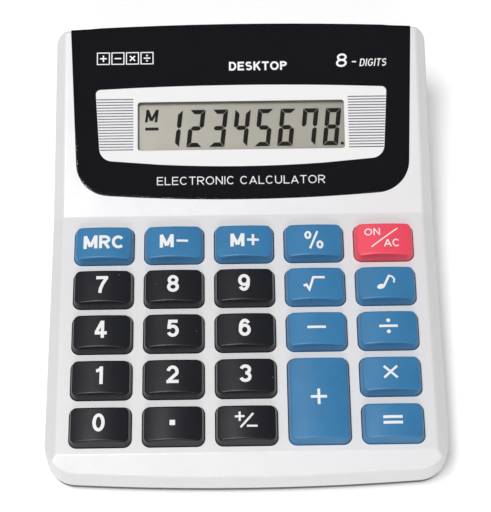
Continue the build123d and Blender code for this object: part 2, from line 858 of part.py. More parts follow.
spring_base_x = contact_thickness - bay_half_x + 0.1
with BuildPart() as battery_spring:
    with BuildSketch(across.offset(spring_base_x - contact_thickness)):
        RectangleRounded(contact_width, contact_height, contact_corner)
    extrude(amount=contact_thickness)
    with BuildLine() as coil:
        Helix(
            pitch=spring_pitch,
            height=cell_end_x - cell_length - spring_base_x - 2 * spring_wire,
            radius=spring_radius,
            cone_angle=spring_cone,
            center=(spring_base_x + 0.7 * spring_wire, cell_y, cell_z),
            direction=(1, 0, 0),
        )
    with BuildSketch(Plane(origin=coil.line @ 0, z_dir=coil.line % 0)):
        Circle(spring_wire)
    sweep(is_frenet=True)
save(battery_spring, "battery_spring")

# ---- internal leads -----------------------------------------------------------------------
board_land = keypad.from_local_coords((0, board_back_run - 2.5, board_bottom - 0.1))
for side, name in ((1, "battery_lead_red"), (-1, "battery_lead_black")):
    lead_points = [
        (side * (bay_half_x - 0.1), cell_y, lead_z),
        (side * 33.5, cell_y, lead_z),
        (side * 33.5, 28, 10),
        (side * 28, board_land.Y, 8.5),
        (side * 28, board_land.Y, board_land.Z),
    ]
    wire(lead_points, lead_radius, lead_bend, name)

ceramic_z = seat_z + 2 * buzzer_sheet
buzzer_x, buzzer_y = buzzer_place
for side, name, start_radius, start_z in (
    (1, "buzzer_lead_red", 3, ceramic_z),
    (-1, "buzzer_lead_black", 11.5, ceramic_z - buzzer_sheet),
):
    lead_points = [
        (buzzer_x + side * start_radius, buzzer_y, start_z + thin_lead),
        (buzzer_x + side * 14, buzzer_y + 12, start_z + 1.5),
        (buzzer_x + side * 14, board_land.Y - 14, 8),
        (buzzer_x + side * 14, board_land.Y - 14, board_land.Z - 14 * tan(radians(keypad_tilt))),
    ]
    wire(lead_points, thin_lead, thin_lead_bend, name)

# ---- buzzer -------------------------------------------------------------------------------
with BuildPart() as buzzer_disc:
    with BuildSketch(Plane.XY.offset(seat_z)):
        with Locations(buzzer_place):
            Circle(buzzer_radius)
    extrude(amount=buzzer_sheet)
save(buzzer_disc, "buzzer_disc")

with BuildPart() as buzzer_ceramic:
    with BuildSketch(Plane.XY.offset(seat_z + buzzer_sheet)):
        with Locations(buzzer_place):
            Circle(buzzer_radius * 0.7)
    extrude(amount=buzzer_sheet)
save(buzzer_ceramic, "buzzer_ceramic")
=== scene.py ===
from math import atan2, ceil, cos, hypot, pi, radians, sin, sqrt

import bpy
from mathutils import Matrix, Vector
from mathutils.geometry import delaunay_2d_cdt


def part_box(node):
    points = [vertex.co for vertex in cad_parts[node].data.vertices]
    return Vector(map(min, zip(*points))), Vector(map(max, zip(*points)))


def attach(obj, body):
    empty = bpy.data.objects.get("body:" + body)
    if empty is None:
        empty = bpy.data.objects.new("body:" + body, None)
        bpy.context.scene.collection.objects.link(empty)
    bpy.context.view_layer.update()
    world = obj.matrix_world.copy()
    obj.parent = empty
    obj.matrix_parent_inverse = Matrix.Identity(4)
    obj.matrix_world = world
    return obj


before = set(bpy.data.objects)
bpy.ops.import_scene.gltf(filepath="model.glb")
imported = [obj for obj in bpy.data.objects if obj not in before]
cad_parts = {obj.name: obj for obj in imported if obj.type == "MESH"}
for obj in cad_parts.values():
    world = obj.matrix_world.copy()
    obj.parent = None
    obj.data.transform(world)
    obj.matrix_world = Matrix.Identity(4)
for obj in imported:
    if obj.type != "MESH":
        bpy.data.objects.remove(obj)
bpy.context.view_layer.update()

bl_info = {
    "name": "Desk Calculator Looks",
    "version": (1, 0, 0),
    "blender": (4, 5, 0),
    "location": "3D View > Sidebar > Calculator",
    "description": "Finishes, prints and legends of a wedge-shaped desk calculator, built on its CAD frame",
    "category": "Object",
}

MM = 0.001


# ---- the two tilted faces of the case -------------------------------------------------------
class Face:
    """Flat face tilted towards the user: x across, run up the slope, out along its normal, in mm."""

    def __init__(self, origin, tilt):
        self.origin = Vector(origin)
        self.along = Vector((0, cos(radians(tilt)), sin(radians(tilt))))
        self.normal = Vector((0, -sin(radians(tilt)), cos(radians(tilt))))

    def point(self, x, run, out):
        """Place on the face in millimetres."""
        return self.origin + Vector((x, 0, 0)) + self.along * run + self.normal * out

    def locate(self, place):
        """Face coordinates of a place given in metres."""
        offset = place / MM - self.origin
        return offset.x, offset.dot(self.along), offset.dot(self.normal)


KEYPAD = Face((0, -34, 17), 5)
CREASE_RUN = 44.85
DISPLAY = Face(KEYPAD.point(0, CREASE_RUN, 0), 16)

# ---- sizes shared with the CAD, in mm -------------------------------------------------------
ROW_PITCH = 14.32
MIDDLE_ROW = 2
KEY_DEPTH = 11.9
KEY_TOP = 4.0
CROWN_RADIUS = 33.0
LENS_BACK = -1.4
LENS_FRONT = 0.0
LCD_FRONT = -3.5

# ---- prints, in mm; a level is how far out of the display face it lies -----------------------
INK = 0.02
SHEET_LEVELS = (LENS_BACK + 0.010, LENS_BACK + 0.025)
PANEL_LEVELS = (LENS_BACK + 0.030, LENS_BACK + 0.045)
LINES_LEVEL = LENS_BACK + 0.056
DIGIT_LEVELS = (LCD_FRONT + 0.005, LCD_FRONT + 0.02)
LEGEND_STEP = 0.45
LETTERING_STEP = 0.3

# Depths are inwards from the outline of the lens's back, so these two lie just outside it.
# EDGE_DEPTH places the black band of painted shade in the gap round the lens.
EDGE_DEPTH = -0.05
PRINT_DEPTH = -0.04
# A wall of the lens is its back one if its normal points back along the display by more than this.
BACKWARD = 0.7

# Left, right, low and high edge of the window; left, right, middle and ends of the panel's two arches.
WINDOW = (-32.75, 32.05, 21.3, 37.1)
WINDOW_CORNER = 0.9
PANEL_TOP = (-46.0, 45.6, 42.4, 41.3)
PANEL_LOW = (-44.5, 44.1, 15.9, 18.3)
PANEL_TOP_CORNER = 1.5
PANEL_LOW_CORNER = 4.2

# ---- display digits, in mm ------------------------------------------------------------------
DIGIT_RUN = 22.85
FIRST_DIGIT = -24.8
SEGMENT_THICKNESS = 1.42
SEGMENT_GAP = 0.08

# ---- stage, in metres -----------------------------------------------------------------------
FLOOR_REACH = 3.0
LAMP_AIM = (0, 0, 0.02)
SOFTBOX_PLACE = (-0.62, -0.36, 2.48)
STRIP_PLACE = (0.0, -2.2, 1.7)
CAMERA_PLACE = (-0.00103, -0.2189, 0.42333)
CAMERA_AIM = (0.00043, -0.0016, 0.017)
CAMERA_ROLL = radians(-0.47)

# ---- keys by colour, each with its row counted from the back --------------------------------
BLACK_KEYS = {
    "key_7": 1, "key_8": 1, "key_9": 1,
    "key_4": 2, "key_5": 2, "key_6": 2,
    "key_1": 3, "key_2": 3, "key_3": 3,
    "key_0": 4, "key_point": 4, "key_sign": 4,
}
BLUE_KEYS = {
    "key_mrc": 0, "key_m_minus": 0, "key_m_plus": 0, "key_percent": 0,
    "key_root": 1, "key_note": 1, "key_minus": 2, "key_divide": 2,
    "key_plus": 3.5, "key_times": 3, "key_equals": 4,
}
RED_KEYS = {"key_on_ac": 0}


# ---- settings -------------------------------------------------------------------------------
def colour(name, text, default):
    """Colour setting in the sidebar."""
    return bpy.props.FloatVectorProperty(
        name=name, description=text, default=default, size=3, min=0, max=1, subtype="COLOR"
    )


def length(name, text, default):
    """Length setting in metres."""
    return bpy.props.FloatProperty(name=name, description=text, default=default, unit="LENGTH", precision=5)


def amount(name, text, default, high=1.0):
    """Setting between nothing and a highest value."""
    return bpy.props.FloatProperty(name=name, description=text, default=default, min=0, max=high)


class CaseSettings(bpy.types.PropertyGroup):
    """Finish of the two case halves and what is screwed to them."""

    silver: colour("Silver", "Body colour of the silver paint", (0.80, 0.795, 0.805))
    metal: amount("Metallic", "Share of metal flake in the paint", 0.10)
    gloss: amount("Roughness", "Roughness of the silver paint", 0.5)
    dark: colour("Dark case", "Colour of the lower case", (0.045, 0.045, 0.05))


class KeySettings(bpy.types.PropertyGroup):
    """Colours of the keys and the size of their legends."""

    black: colour("Black keys", "Colour of the number keys", (0.010, 0.0105, 0.015))
    blue: colour("Blue keys", "Colour of the function keys", (0.045, 0.21, 0.43))
    red: colour("Red key", "Colour of the clear key", (0.94, 0.075, 0.125))
    digit_height: length("Digit height", "Height of the numbers on the keys", 5.4 * MM)
    word_height: length("Letter height", "Height of the letters on the memory keys", 4.25 * MM)


class LensSettings(bpy.types.PropertyGroup):
    """Prints on the back of the display lens."""

    black: colour("Black print", "Colour of the print behind the lens", (0.0045, 0.0045, 0.007))
    white: colour("White print", "Colour of the panel and the lettering", (0.94, 0.93, 0.935))
    line_count: bpy.props.IntProperty(name="Lines", description="Ruled lines on each side", default=19, min=2)
    line_pitch: length("Line pitch", "Distance between ruled lines", 0.914 * MM)
    line_width: length("Line width", "Width of a ruled line", 0.36 * MM)


class DisplaySettings(bpy.types.PropertyGroup):
    """Liquid crystal display: its ground and its digits."""

    ground: colour("Ground", "Colour of the display ground", (0.315, 0.298, 0.245))
    segment: colour("Segment", "Colour of a dark segment", (0.009, 0.008, 0.006))
    digits: bpy.props.StringProperty(name="Digits", description="Digits shown", default="12345678")
    digit_pitch: length("Digit pitch", "Distance between digits", 7.13 * MM)
    digit_height: length("Digit height", "Height of a digit", 12.2 * MM)
    digit_width: length("Digit width", "Width of a digit", 4.85 * MM)
    slant: amount("Slant", "Sideways lean of the digits for each unit of height", 0.115)


class StageSettings(bpy.types.PropertyGroup):
    """Camera, lamps and floor."""

    focal: bpy.props.FloatProperty(
        name="Focal length", description="Lens of the camera", default=105.5, unit="CAMERA"
    )
    sky: amount("Sky", "Strength of the soft light from all round", 0.22, 5)
    key_light: amount("Softbox", "Power of the large softbox", 43.0, 500)
    front_light: amount("Front strip", "Power of the long softbox in front", 13.0, 500)
    table: amount("Light table", "Glow of the pale floor", 0.22, 5)


# ---- shader nodes ---------------------------------------------------------------------------
DUST_COLOUR = (0.4, 0.39, 0.37, 1)
SPECK_RADIUS = 0.09
BUMP_DEPTH = 0.03 * MM


def add_node(tree, kind, **values):
    """Node with its socket values and properties set by name."""
    node = tree.nodes.new(kind)
    for name, value in values.items():
        socket = node.inputs.get(name.replace("_", " "))
        if socket is None:
            setattr(node, name, value)
        else:
            socket.default_value = value
    return node


def new_group(name, inputs, outputs):
    """Empty shader node group with its sockets, and its two end nodes."""
    tree = bpy.data.node_groups.new(name, "ShaderNodeTree")
    for label, default in inputs.items():
        socket = tree.interface.new_socket(label, in_out="INPUT", socket_type="NodeSocketFloat")
        socket.default_value = default
    for label, kind in outputs.items():
        tree.interface.new_socket(label, in_out="OUTPUT", socket_type=kind)
    return tree, tree.nodes.new("NodeGroupInput"), tree.nodes.new("NodeGroupOutput")


def math_node(tree, operation, first, second):
    """Math node fed by sockets or numbers."""
    node = tree.nodes.new("ShaderNodeMath")
    node.operation = operation
    for socket, value in zip(node.inputs, (first, second)):
        if isinstance(value, (int, float)):
            socket.default_value = value
        else:
            tree.links.new(value, socket)
    return node.outputs[0]


def moulded_grain_group():
    """Fine grain of moulded plastic: a height for bump and a slow change of roughness."""
    tree, start, end = new_group(
        "Moulded grain",
        {"Grain size": 4000.0, "Roughness": 0.4, "Roughness change": 0.06},
        {"Height": "NodeSocketFloat", "Roughness": "NodeSocketFloat"},
    )
    link = tree.links.new
    place = tree.nodes.new("ShaderNodeTexCoord")
    grain = add_node(tree, "ShaderNodeTexNoise", Detail=3.0, Roughness=0.6)
    patch = add_node(tree, "ShaderNodeTexNoise", Scale=180.0, Detail=2.0)
    link(place.outputs["Object"], grain.inputs["Vector"])
    link(place.outputs["Object"], patch.inputs["Vector"])
    link(start.outputs["Grain size"], grain.inputs["Scale"])
    link(grain.outputs["Fac"], end.inputs["Height"])
    swing = math_node(tree, "SUBTRACT", patch.outputs["Fac"], 0.5)
    swing = math_node(tree, "MULTIPLY", swing, start.outputs["Roughness change"])
    rough = math_node(tree, "ADD", start.outputs["Roughness"], swing)
    link(rough, end.inputs["Roughness"])
    return tree


def tone_group():
    """Slight unevenness of a moulded or painted colour: cloudy patches and small flecks."""
    tree, start, end = new_group(
        "Uneven tone",
        {"Patch size": 120.0, "Fleck size": 2600.0, "Patch depth": 0.05, "Fleck depth": 0.05},
        {"Tone": "NodeSocketFloat"},
    )
    link = tree.links.new
    place = tree.nodes.new("ShaderNodeTexCoord")
    patch = add_node(tree, "ShaderNodeTexNoise", Detail=2.0)
    fleck = add_node(tree, "ShaderNodeTexNoise", Detail=1.0)
    for node, size in ((patch, "Patch size"), (fleck, "Fleck size")):
        link(place.outputs["Object"], node.inputs["Vector"])
        link(start.outputs[size], node.inputs["Scale"])
    total = 1.0
    for node, depth in ((patch, "Patch depth"), (fleck, "Fleck depth")):
        swing = math_node(tree, "SUBTRACT", node.outputs["Fac"], 0.5)
        swing = math_node(tree, "MULTIPLY", swing, start.outputs[depth])
        total = math_node(tree, "ADD", swing, total)
    link(total, end.inputs["Tone"])
    return tree


def dust_group():
    """Sparse specks of dust, as a mask."""
    tree, start, end = new_group(
        "Dust specks", {"Speck size": 900.0, "Amount": 0.1}, {"Mask": "NodeSocketFloat"}
    )
    link = tree.links.new
    place = tree.nodes.new("ShaderNodeTexCoord")
    cells = add_node(tree, "ShaderNodeTexVoronoi", Randomness=1.0)
    link(place.outputs["Object"], cells.inputs["Vector"])
    link(start.outputs["Speck size"], cells.inputs["Scale"])
    near = math_node(tree, "LESS_THAN", cells.outputs["Distance"], SPECK_RADIUS)
    chance = tree.nodes.new("ShaderNodeSeparateColor")
    link(cells.outputs["Color"], chance.inputs["Color"])
    chosen = math_node(tree, "LESS_THAN", chance.outputs["Red"], start.outputs["Amount"])
    link(math_node(tree, "MULTIPLY", near, chosen), end.inputs["Mask"])
    return tree


def new_material(name):
    """Material with a Principled shader, its tree cleared first."""
    material = bpy.data.materials.new(name)
    material.use_nodes = True
    tree = material.node_tree
    tree.nodes.clear()
    shader = tree.nodes.new("ShaderNodeBsdfPrincipled")
    output = tree.nodes.new("ShaderNodeOutputMaterial")
    tree.links.new(shader.outputs["BSDF"], output.inputs["Surface"])
    return material, tree, shader


def place_group(tree, name, builder, **values):
    """Node of a shared group with its own values; the group is built the first time it is placed."""
    node = tree.nodes.new("ShaderNodeGroup")
    node.node_tree = bpy.data.node_groups.get(name) or builder()
    for label, value in values.items():
        node.inputs[label.replace("_", " ")].default_value = value
    return node


def toned_colour(tree, base, tone):
    """Base colour multiplied by a tone."""
    scale = tree.nodes.new("ShaderNodeVectorMath")
    scale.operation = "SCALE"
    scale.inputs[0].default_value = base
    tree.links.new(tone, scale.inputs["Scale"])
    return scale.outputs["Vector"]


def grained(tree, size, rough, change):
    """Moulded grain whose roughness changes by a share of itself."""
    return place_group(
        tree, "Moulded grain", moulded_grain_group,
        Grain_size=size, Roughness=rough, Roughness_change=rough * change,
    )


def moulded(
    name, base, rough, grain=3200.0, bump=0.1, fleck=0.06, patch=0.05,
    metal=0.0, coat=0.0, dust=0.0, shine=0.5,
):
    """Moulded or painted surface with grain and uneven tone, and dust where it is asked for."""
    material, tree, shader = new_material(name)
    link = tree.links.new
    surface = grained(tree, grain, rough, 0.25)
    tone = place_group(tree, "Uneven tone", tone_group, Fleck_depth=fleck, Patch_depth=patch)
    shade = toned_colour(tree, base, tone.outputs["Tone"])
    if dust:
        specks = place_group(tree, "Dust specks", dust_group, Amount=dust)
        mix = tree.nodes.new("ShaderNodeMix")
        mix.data_type = "RGBA"
        link(specks.outputs["Mask"], mix.inputs["Factor"])
        link(shade, mix.inputs["A"])
        mix.inputs["B"].default_value = DUST_COLOUR
        shade = mix.outputs["Result"]
    link(shade, shader.inputs["Base Color"])
    link(surface.outputs["Roughness"], shader.inputs["Roughness"])
    relief = add_node(tree, "ShaderNodeBump", Strength=bump, Distance=BUMP_DEPTH)
    link(surface.outputs["Height"], relief.inputs["Height"])
    link(relief.outputs["Normal"], shader.inputs["Normal"])
    shader.inputs["Metallic"].default_value = metal
    shader.inputs["Coat Weight"].default_value = coat
    shader.inputs["Coat Roughness"].default_value = 0.12
    shader.inputs["Specular IOR Level"].default_value = shine
    return material


def ink(name, base, rough=0.5, shine=0.5):
    """Printed ink: nearly even, with a faint mottle."""
    return moulded(name, base, rough, grain=9000.0, bump=0.03, fleck=0.04, patch=0.02, shine=shine)


def metal_finish(name, base, rough):
    """Plated or rolled metal with a fine grain and patchy change in its roughness."""
    return moulded(name, base, rough, grain=6000.0, bump=0.06, fleck=0.08, patch=0.06, metal=1.0)


def clear_plastic(name, tint, rough, index):
    """Clear sheet that shadow and diffuse rays pass straight through, so what is behind it is lit."""
    material, tree, shader = new_material(name)
    link = tree.links.new
    output = next(node for node in tree.nodes if node.type == "OUTPUT_MATERIAL")
    surface = grained(tree, 60.0, rough, 0.5)
    shader.inputs["Base Color"].default_value = (*tint, 1)
    shader.inputs["Transmission Weight"].default_value = 1.0
    shader.inputs["IOR"].default_value = index
    link(surface.outputs["Roughness"], shader.inputs["Roughness"])
    open_way = tree.nodes.new("ShaderNodeBsdfTransparent")
    rays = tree.nodes.new("ShaderNodeLightPath")
    either = tree.nodes.new("ShaderNodeMixShader")
    passing = math_node(tree, "MAXIMUM", rays.outputs["Is Shadow Ray"], rays.outputs["Is Diffuse Ray"])
    link(passing, either.inputs["Fac"])
    link(shader.outputs["BSDF"], either.inputs[1])
    link(open_way.outputs["BSDF"], either.inputs[2])
    link(either.outputs["Shader"], output.inputs["Surface"])
    return material


def finish_nodes(names, material):
    """Give CAD nodes a material."""
    for name in names:
        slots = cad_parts[name].data.materials
        slots.clear()
        slots.append(material)


# ---- thin printed layers --------------------------------------------------------------------
TINY = 1e-5


def anticlockwise(ring):
    """The same outline, turned to run anticlockwise."""
    area = sum(a[0] * b[1] - b[0] * a[1] for a, b in zip(ring, ring[1:] + ring[:1]))
    return ring if area > 0 else ring[::-1]


def short_edges(ring, step):
    """The same outline with its long edges divided."""
    divided = []
    for (ax, ay), (bx, by) in zip(ring, ring[1:] + ring[:1]):
        parts = max(1, ceil(hypot(bx - ax, by - ay) / step))
        divided += [(ax + (bx - ax) * k / parts, ay + (by - ay) * k / parts) for k in range(parts)]
    return divided


def new_piece(name, places, faces):
    """Object of the given faces, linked to the scene."""
    mesh = bpy.data.meshes.new(name)
    mesh.from_pydata(places, [], faces)
    mesh.update()
    piece = bpy.data.objects.new(name, mesh)
    bpy.context.scene.collection.objects.link(piece)
    return piece


def layer(name, outlines, holes, place, levels, step=0.0):
    """Closed thin slab of the outlines joined together, less the holes, between two levels.

    place(x, y, out) gives the spot in space, in mm. A step divides the slab so that it can curve.
    """
    low, high = levels
    rings = [anticlockwise(ring) for ring in outlines + holes]
    if step:
        rings = [short_edges(ring, step) for ring in rings]
    points = [Vector(point) for ring in rings for point in ring]
    faces = []
    first = 0
    for ring in rings:
        faces.append(list(range(first, first + len(ring))))
        first += len(ring)
    if step:
        x_low, x_high = min(p.x for p in points), max(p.x for p in points)
        y_low, y_high = min(p.y for p in points), max(p.y for p in points)
        for i in range(1, ceil((x_high - x_low) / step)):
            for j in range(1, ceil((y_high - y_low) / step)):
                points.append(Vector((x_low + i * step + j % 2 * step / 2, y_low + j * step)))
    flat, _, triangles, _, _, sources = delaunay_2d_cdt(points, [], faces, 1, TINY)
    kept = []
    for triangle, source in zip(triangles, sources):
        if source and all(index < len(outlines) for index in source):
            a, b, c = (flat[index] for index in triangle)
            turned = (b - a).cross(c - a) < 0
            kept.append(tuple(reversed(triangle)) if turned else tuple(triangle))
    used = sorted({index for triangle in kept for index in triangle})
    order = {index: rank for rank, index in enumerate(used)}
    kept = [tuple(order[index] for index in triangle) for triangle in kept]
    count = len(used)
    places = [place(flat[index].x, flat[index].y, high) * MM for index in used]
    places += [place(flat[index].x, flat[index].y, low) * MM for index in used]
    edges = {}
    for triangle in kept:
        for k in range(3):
            edges[triangle[k], triangle[(k + 1) % 3]] = True
    walls = [(b, a, a + count, b + count) for a, b in edges if (b, a) not in edges]
    under = [tuple(index + count for index in reversed(triangle)) for triangle in kept]
    return new_piece(name, places, kept + under + walls)


def hand_over(piece, body, material):
    """Give a finished piece its material and its body."""
    piece.data.materials.clear()
    piece.data.materials.append(material)
    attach(piece, body)


# ---- letters and symbols drawn as strokes ---------------------------------------------------
ARC_STEP = 12
FEWEST_STEPS = 4
SAME_SPOT = 1e-6
SHARPEST_STROKE = 0.45
SHARPEST_OUTLINE = 0.4
WAIST = 0.52
BOWL_TOP = 0.62
SPACE_WIDTH = 0.5
PLAIN_WIDTH = 0.66
WIDTHS = {
    "I": 0.1, "M": 1.0, "N": 0.86, "O": 1.02, "C": 0.92, "G": 0.95, "R": 0.84, "A": 0.92,
    "D": 0.86, "E": 0.76, "L": 0.7, "T": 0.8, "U": 0.86, "S": 0.8, "P": 0.8, "K": 0.86,
}


def arc(cx, cy, rx, ry, start, end):
    """Points along an ellipse, from one angle to another, in degrees."""
    steps = max(FEWEST_STEPS, ceil(abs(end - start) / ARC_STEP))
    turns = [radians(start + (end - start) * i / steps) for i in range(steps + 1)]
    return [(cx + rx * cos(turn), cy + ry * sin(turn)) for turn in turns]


def stroke(points, half):
    """Outline pieces of a line of even width through the points; a closed line repeats its first point."""
    closed = hypot(points[0][0] - points[-1][0], points[0][1] - points[-1][1]) < SAME_SPOT
    spots = [Vector(point) for point in (points[:-1] if closed else points)]
    spots = spots[:1] + [here for before, here in zip(spots, spots[1:]) if (here - before).length > SAME_SPOT]
    count = len(spots)
    sides = []
    for i, spot in enumerate(spots):
        before = spots[i - 1] if closed or i > 0 else None
        after = spots[(i + 1) % count] if closed or i < count - 1 else None
        runs = [(spot - before).normalized()] if before else []
        runs += [(after - spot).normalized()] if after else []
        along = sum(runs, Vector((0, 0))).normalized()
        across = Vector((-along.y, along.x))
        lean = max(SHARPEST_STROKE, across.dot(Vector((-runs[0].y, runs[0].x))))
        sides.append((spot + across * half / lean, spot - across * half / lean))
    last = count if closed else count - 1
    pieces = []
    for i in range(last):
        corners = [*sides[i], *sides[(i + 1) % count]]
        middle = sum(corners, Vector((0, 0))) / 4
        corners.sort(key=lambda corner: atan2(corner.y - middle.y, corner.x - middle.x))
        pieces.append([tuple(corner) for corner in corners])
    return pieces


def letter_lines(letter, width, h):
    """Centre lines of a letter of height 1 and the given width, for a stroke of half width h."""
    l, r, b, t = h, width - h, h, 1 - h
    m, rx = width / 2, width / 2 - h
    upper, upper_r = (t + WAIST) / 2, (t - WAIST) / 2
    lower, lower_r = (b + WAIST) / 2, (WAIST - b) / 2
    bowl, bowl_r = (b + BOWL_TOP) / 2, (BOWL_TOP - b) / 2
    stem = width - 0.24
    lines = {
        "0": [arc(m, 0.5, rx, (t - b) / 2, 0, 360)],
        "1": [[(m + 0.08, 0), (m + 0.08, 1)], arc(m - 0.2, 1.0, 0.28, 0.24, -90, -15)],
        "2": [arc(m, t - 0.26, rx, 0.26, 170, -30) + [(l + 0.04, b + 0.06)], [(0, b), (width, b)]],
        "3": [arc(m, upper, rx * 0.93, upper_r, 165, -90), arc(m, lower, rx, lower_r, 90, -165)],
        "4": [[(stem, 0), (stem, 1)], [(stem - 0.02, 0.97), (l - 0.02, 0.32)], [(0, 0.29), (width, 0.29)]],
        "5": [[(r + 0.02, t), (l + 0.07, t), (l + 0.02, 0.47)], arc(m, bowl, rx, bowl_r, 145, -160)],
        "6": [arc(m, bowl, rx, bowl_r, 0, 360), arc(m + 0.01, 0.52, rx, t - 0.52, 35, 180) + [(l, bowl)]],
        "7": [[(0, t), (r + h, t)], [(r + 0.02, t), (m + 0.04, 0.55), (m - 0.08, 0.25), (m - 0.11, 0)]],
        "8": [arc(m, upper, rx * 0.88, upper_r, 0, 360), arc(m, lower, rx, lower_r, 0, 360)],
        "A": [[(l - 0.02, 0), (m, 1 - h)], [(r + 0.02, 0), (m, 1 - h)], [(l + 0.12, 0.3), (r - 0.12, 0.3)]],
        "C": [arc(m, 0.5, rx, (t - b) / 2, 42, 318)],
        "D": [[(m, t), (l, t), (l, b), (m, b)], arc(m, 0.5, rx, (t - b) / 2, 90, -90)],
        "E": [[(width, t), (l, t), (l, b), (width, b)], [(l, 0.52), (width - 0.06, 0.52)]],
        "G": [arc(m, 0.5, rx, (t - b) / 2, 42, 345) + [(r, 0.46), (m + 0.05, 0.46)]],
        "I": [[(l, 0), (l, 1)]],
        "K": [[(l, 0), (l, 1)], [(l, 0.36), (r, 1)], [(m - 0.05, 0.55), (r + 0.02, 0)]],
        "L": [[(l, 1), (l, b), (width, b)]],
        "M": [[(l, 0), (l, 1)], [(r, 0), (r, 1)], [(l, 0.98), (m, h * 1.2)], [(r, 0.98), (m, h * 1.2)]],
        "N": [[(l, 0), (l, 1)], [(r, 0), (r, 1)], [(l, 0.97), (r, 0.03)]],
        "O": [arc(m, 0.5, rx, (t - b) / 2, 0, 360)],
        "P": [[(l, 0), (l, 1)], [(l, t), (m, t)] + arc(m, upper, rx, upper_r, 90, -90) + [(l, WAIST)]],
        "R": [
            [(l, 0), (l, 1)],
            [(l, t), (m, t)] + arc(m, (t + 0.47) / 2, rx, (t - 0.47) / 2, 90, -90) + [(l, 0.47)],
            [(m - 0.02, 0.47), (r + 0.01, 0)],
        ],
        "S": [arc(m, upper, rx * 0.94, upper_r, 30, 270) + arc(m, lower, rx, lower_r, 90, -150)],
        "T": [[(0, t), (width, t)], [(m, 0), (m, t)]],
        "U": [[(l, 1), (l, b + rx)] + arc(m, b + rx, rx, rx, 180, 360) + [(r, 1)]],
    }
    if letter == "9":
        turned = letter_lines("6", width, h)
        return [[(width - x, 1 - y) for x, y in line] for line in turned]
    return lines[letter]


def word(text, left, base, height, half, gap, squeeze=1.0, lean=0.0):
    """Outline pieces of a word, and where it ends. Sizes in mm; lean slants the letters."""
    pieces = []
    cursor = left
    for letter in text:
        if letter == " ":
            cursor += height * SPACE_WIDTH
            continue
        h = half / height
        width = max(WIDTHS.get(letter, PLAIN_WIDTH) * squeeze, 2 * h)
        for line in letter_lines(letter, width, h):
            for quad in stroke(line, h):
                pieces.append([(cursor + (x + lean * y) * height, base + y * height) for x, y in quad])
        cursor += width * height + gap
    return pieces, cursor - gap


def centred_word(text, middle, base, height, half, gap, squeeze=1.0, lean=0.0):
    """Word centred on middle."""
    _, end = word(text, 0, base, height, half, gap, squeeze, lean)
    return word(text, middle - end / 2, base, height, half, gap, squeeze, lean)[0]


def bar(x0, y0, x1, y1, half):
    """Straight bar."""
    return stroke([(x0, y0), (x1, y1)], half)


def plus(x, y, reach, half):
    """Plus sign."""
    return bar(x - reach, y, x + reach, y, half) + bar(x, y - reach, x, y + reach, half)


def key_legends(settings):
    """Legend outlines of every key, in mm from the middle of the key."""
    tall = settings.digit_height / MM
    letter = settings.word_height / MM
    base = 0.48 - tall / 2
    word_base = 0.16 - letter / 2
    legends = {}
    for digit in "0123456789":
        legends["key_" + digit] = centred_word(digit, -0.15, base, tall, 0.49, 0)
    legends["key_mrc"] = word("M", -6.1, word_base, letter, 0.5, 0)[0]
    legends["key_mrc"] += word("R", -1.35, word_base, letter, 0.46, 0, 0.95)[0]
    legends["key_mrc"] += word("C", 2.5, word_base, letter, 0.46, 0)[0]
    legends["key_m_minus"] = word("M", -4.25, word_base, letter, 0.5, 0)[0] + bar(0.85, 0.2, 4.35, 0.2, 0.36)
    legends["key_m_plus"] = word("M", -4.1, word_base, letter, 0.5, 0)[0] + plus(2.75, 0.2, 1.8, 0.38)
    legends["key_percent"] = (
        stroke(arc(-1.85, 1.45, 0.72, 0.98, 0, 360), 0.34)
        + stroke(arc(1.72, -1.75, 0.72, 0.98, 0, 360), 0.34)
        + bar(-1.3, -3.0, 1.06, 2.65, 0.33)
    )
    legends["key_on_ac"] = (
        word("ON", -5.9, 1.15, 2.3, 0.17, 0.4)[0]
        + bar(-4.0, -2.7, 4.2, 3.4, 0.19)
        + word("AC", -0.15, -2.65, 2.5, 0.19, 0.3)[0]
    )
    legends["key_root"] = (
        stroke([(-3.6, -0.75), (-2.75, -0.45), (-1.9, -2.0), (-0.65, 1.85), (2.8, 1.85)], 0.36)
    )
    legends["key_note"] = (
        [[(-1.75 + x, -1.4 + y + 0.12 * x) for x, y in arc(0, 0, 1.15, 0.78, 0, 348)]]
        + bar(-0.95, -1.5, 0.85, 2.2, 0.34)
        + stroke([(0.7, 2.1), (1.7, 1.75), (2.35, 1.0), (2.15, -0.2)], 0.27)
    )
    legends["key_minus"] = bar(-2.9, 0.3, 2.6, 0.3, 0.38)
    legends["key_divide"] = (
        bar(-2.9, 0.3, 2.6, 0.3, 0.38)
        + [[(-0.15 + x, side * 1.75 + 0.3 + y) for x, y in arc(0, 0, 0.58, 0.58, 0, 348)] for side in (-1, 1)]
    )
    legends["key_times"] = bar(-2.2, -1.45, 1.7, 2.1, 0.34) + bar(-2.2, 2.1, 1.7, -1.45, 0.34)
    legends["key_plus"] = plus(-0.2, 0.25, 2.35, 0.4)
    legends["key_equals"] = bar(-3.1, 0.98, 2.5, 0.98, 0.42) + bar(-3.1, -0.7, 2.5, -0.7, 0.42)
    legends["key_point"] = bar(-0.95, 0.15, 0.65, 0.15, 0.78)
    legends["key_sign"] = (
        plus(-2.0, 1.75, 1.4, 0.3) + bar(-1.75, -1.55, 1.95, 2.65, 0.3) + bar(0.05, -1.15, 3.15, -1.15, 0.3)
    )
    return legends


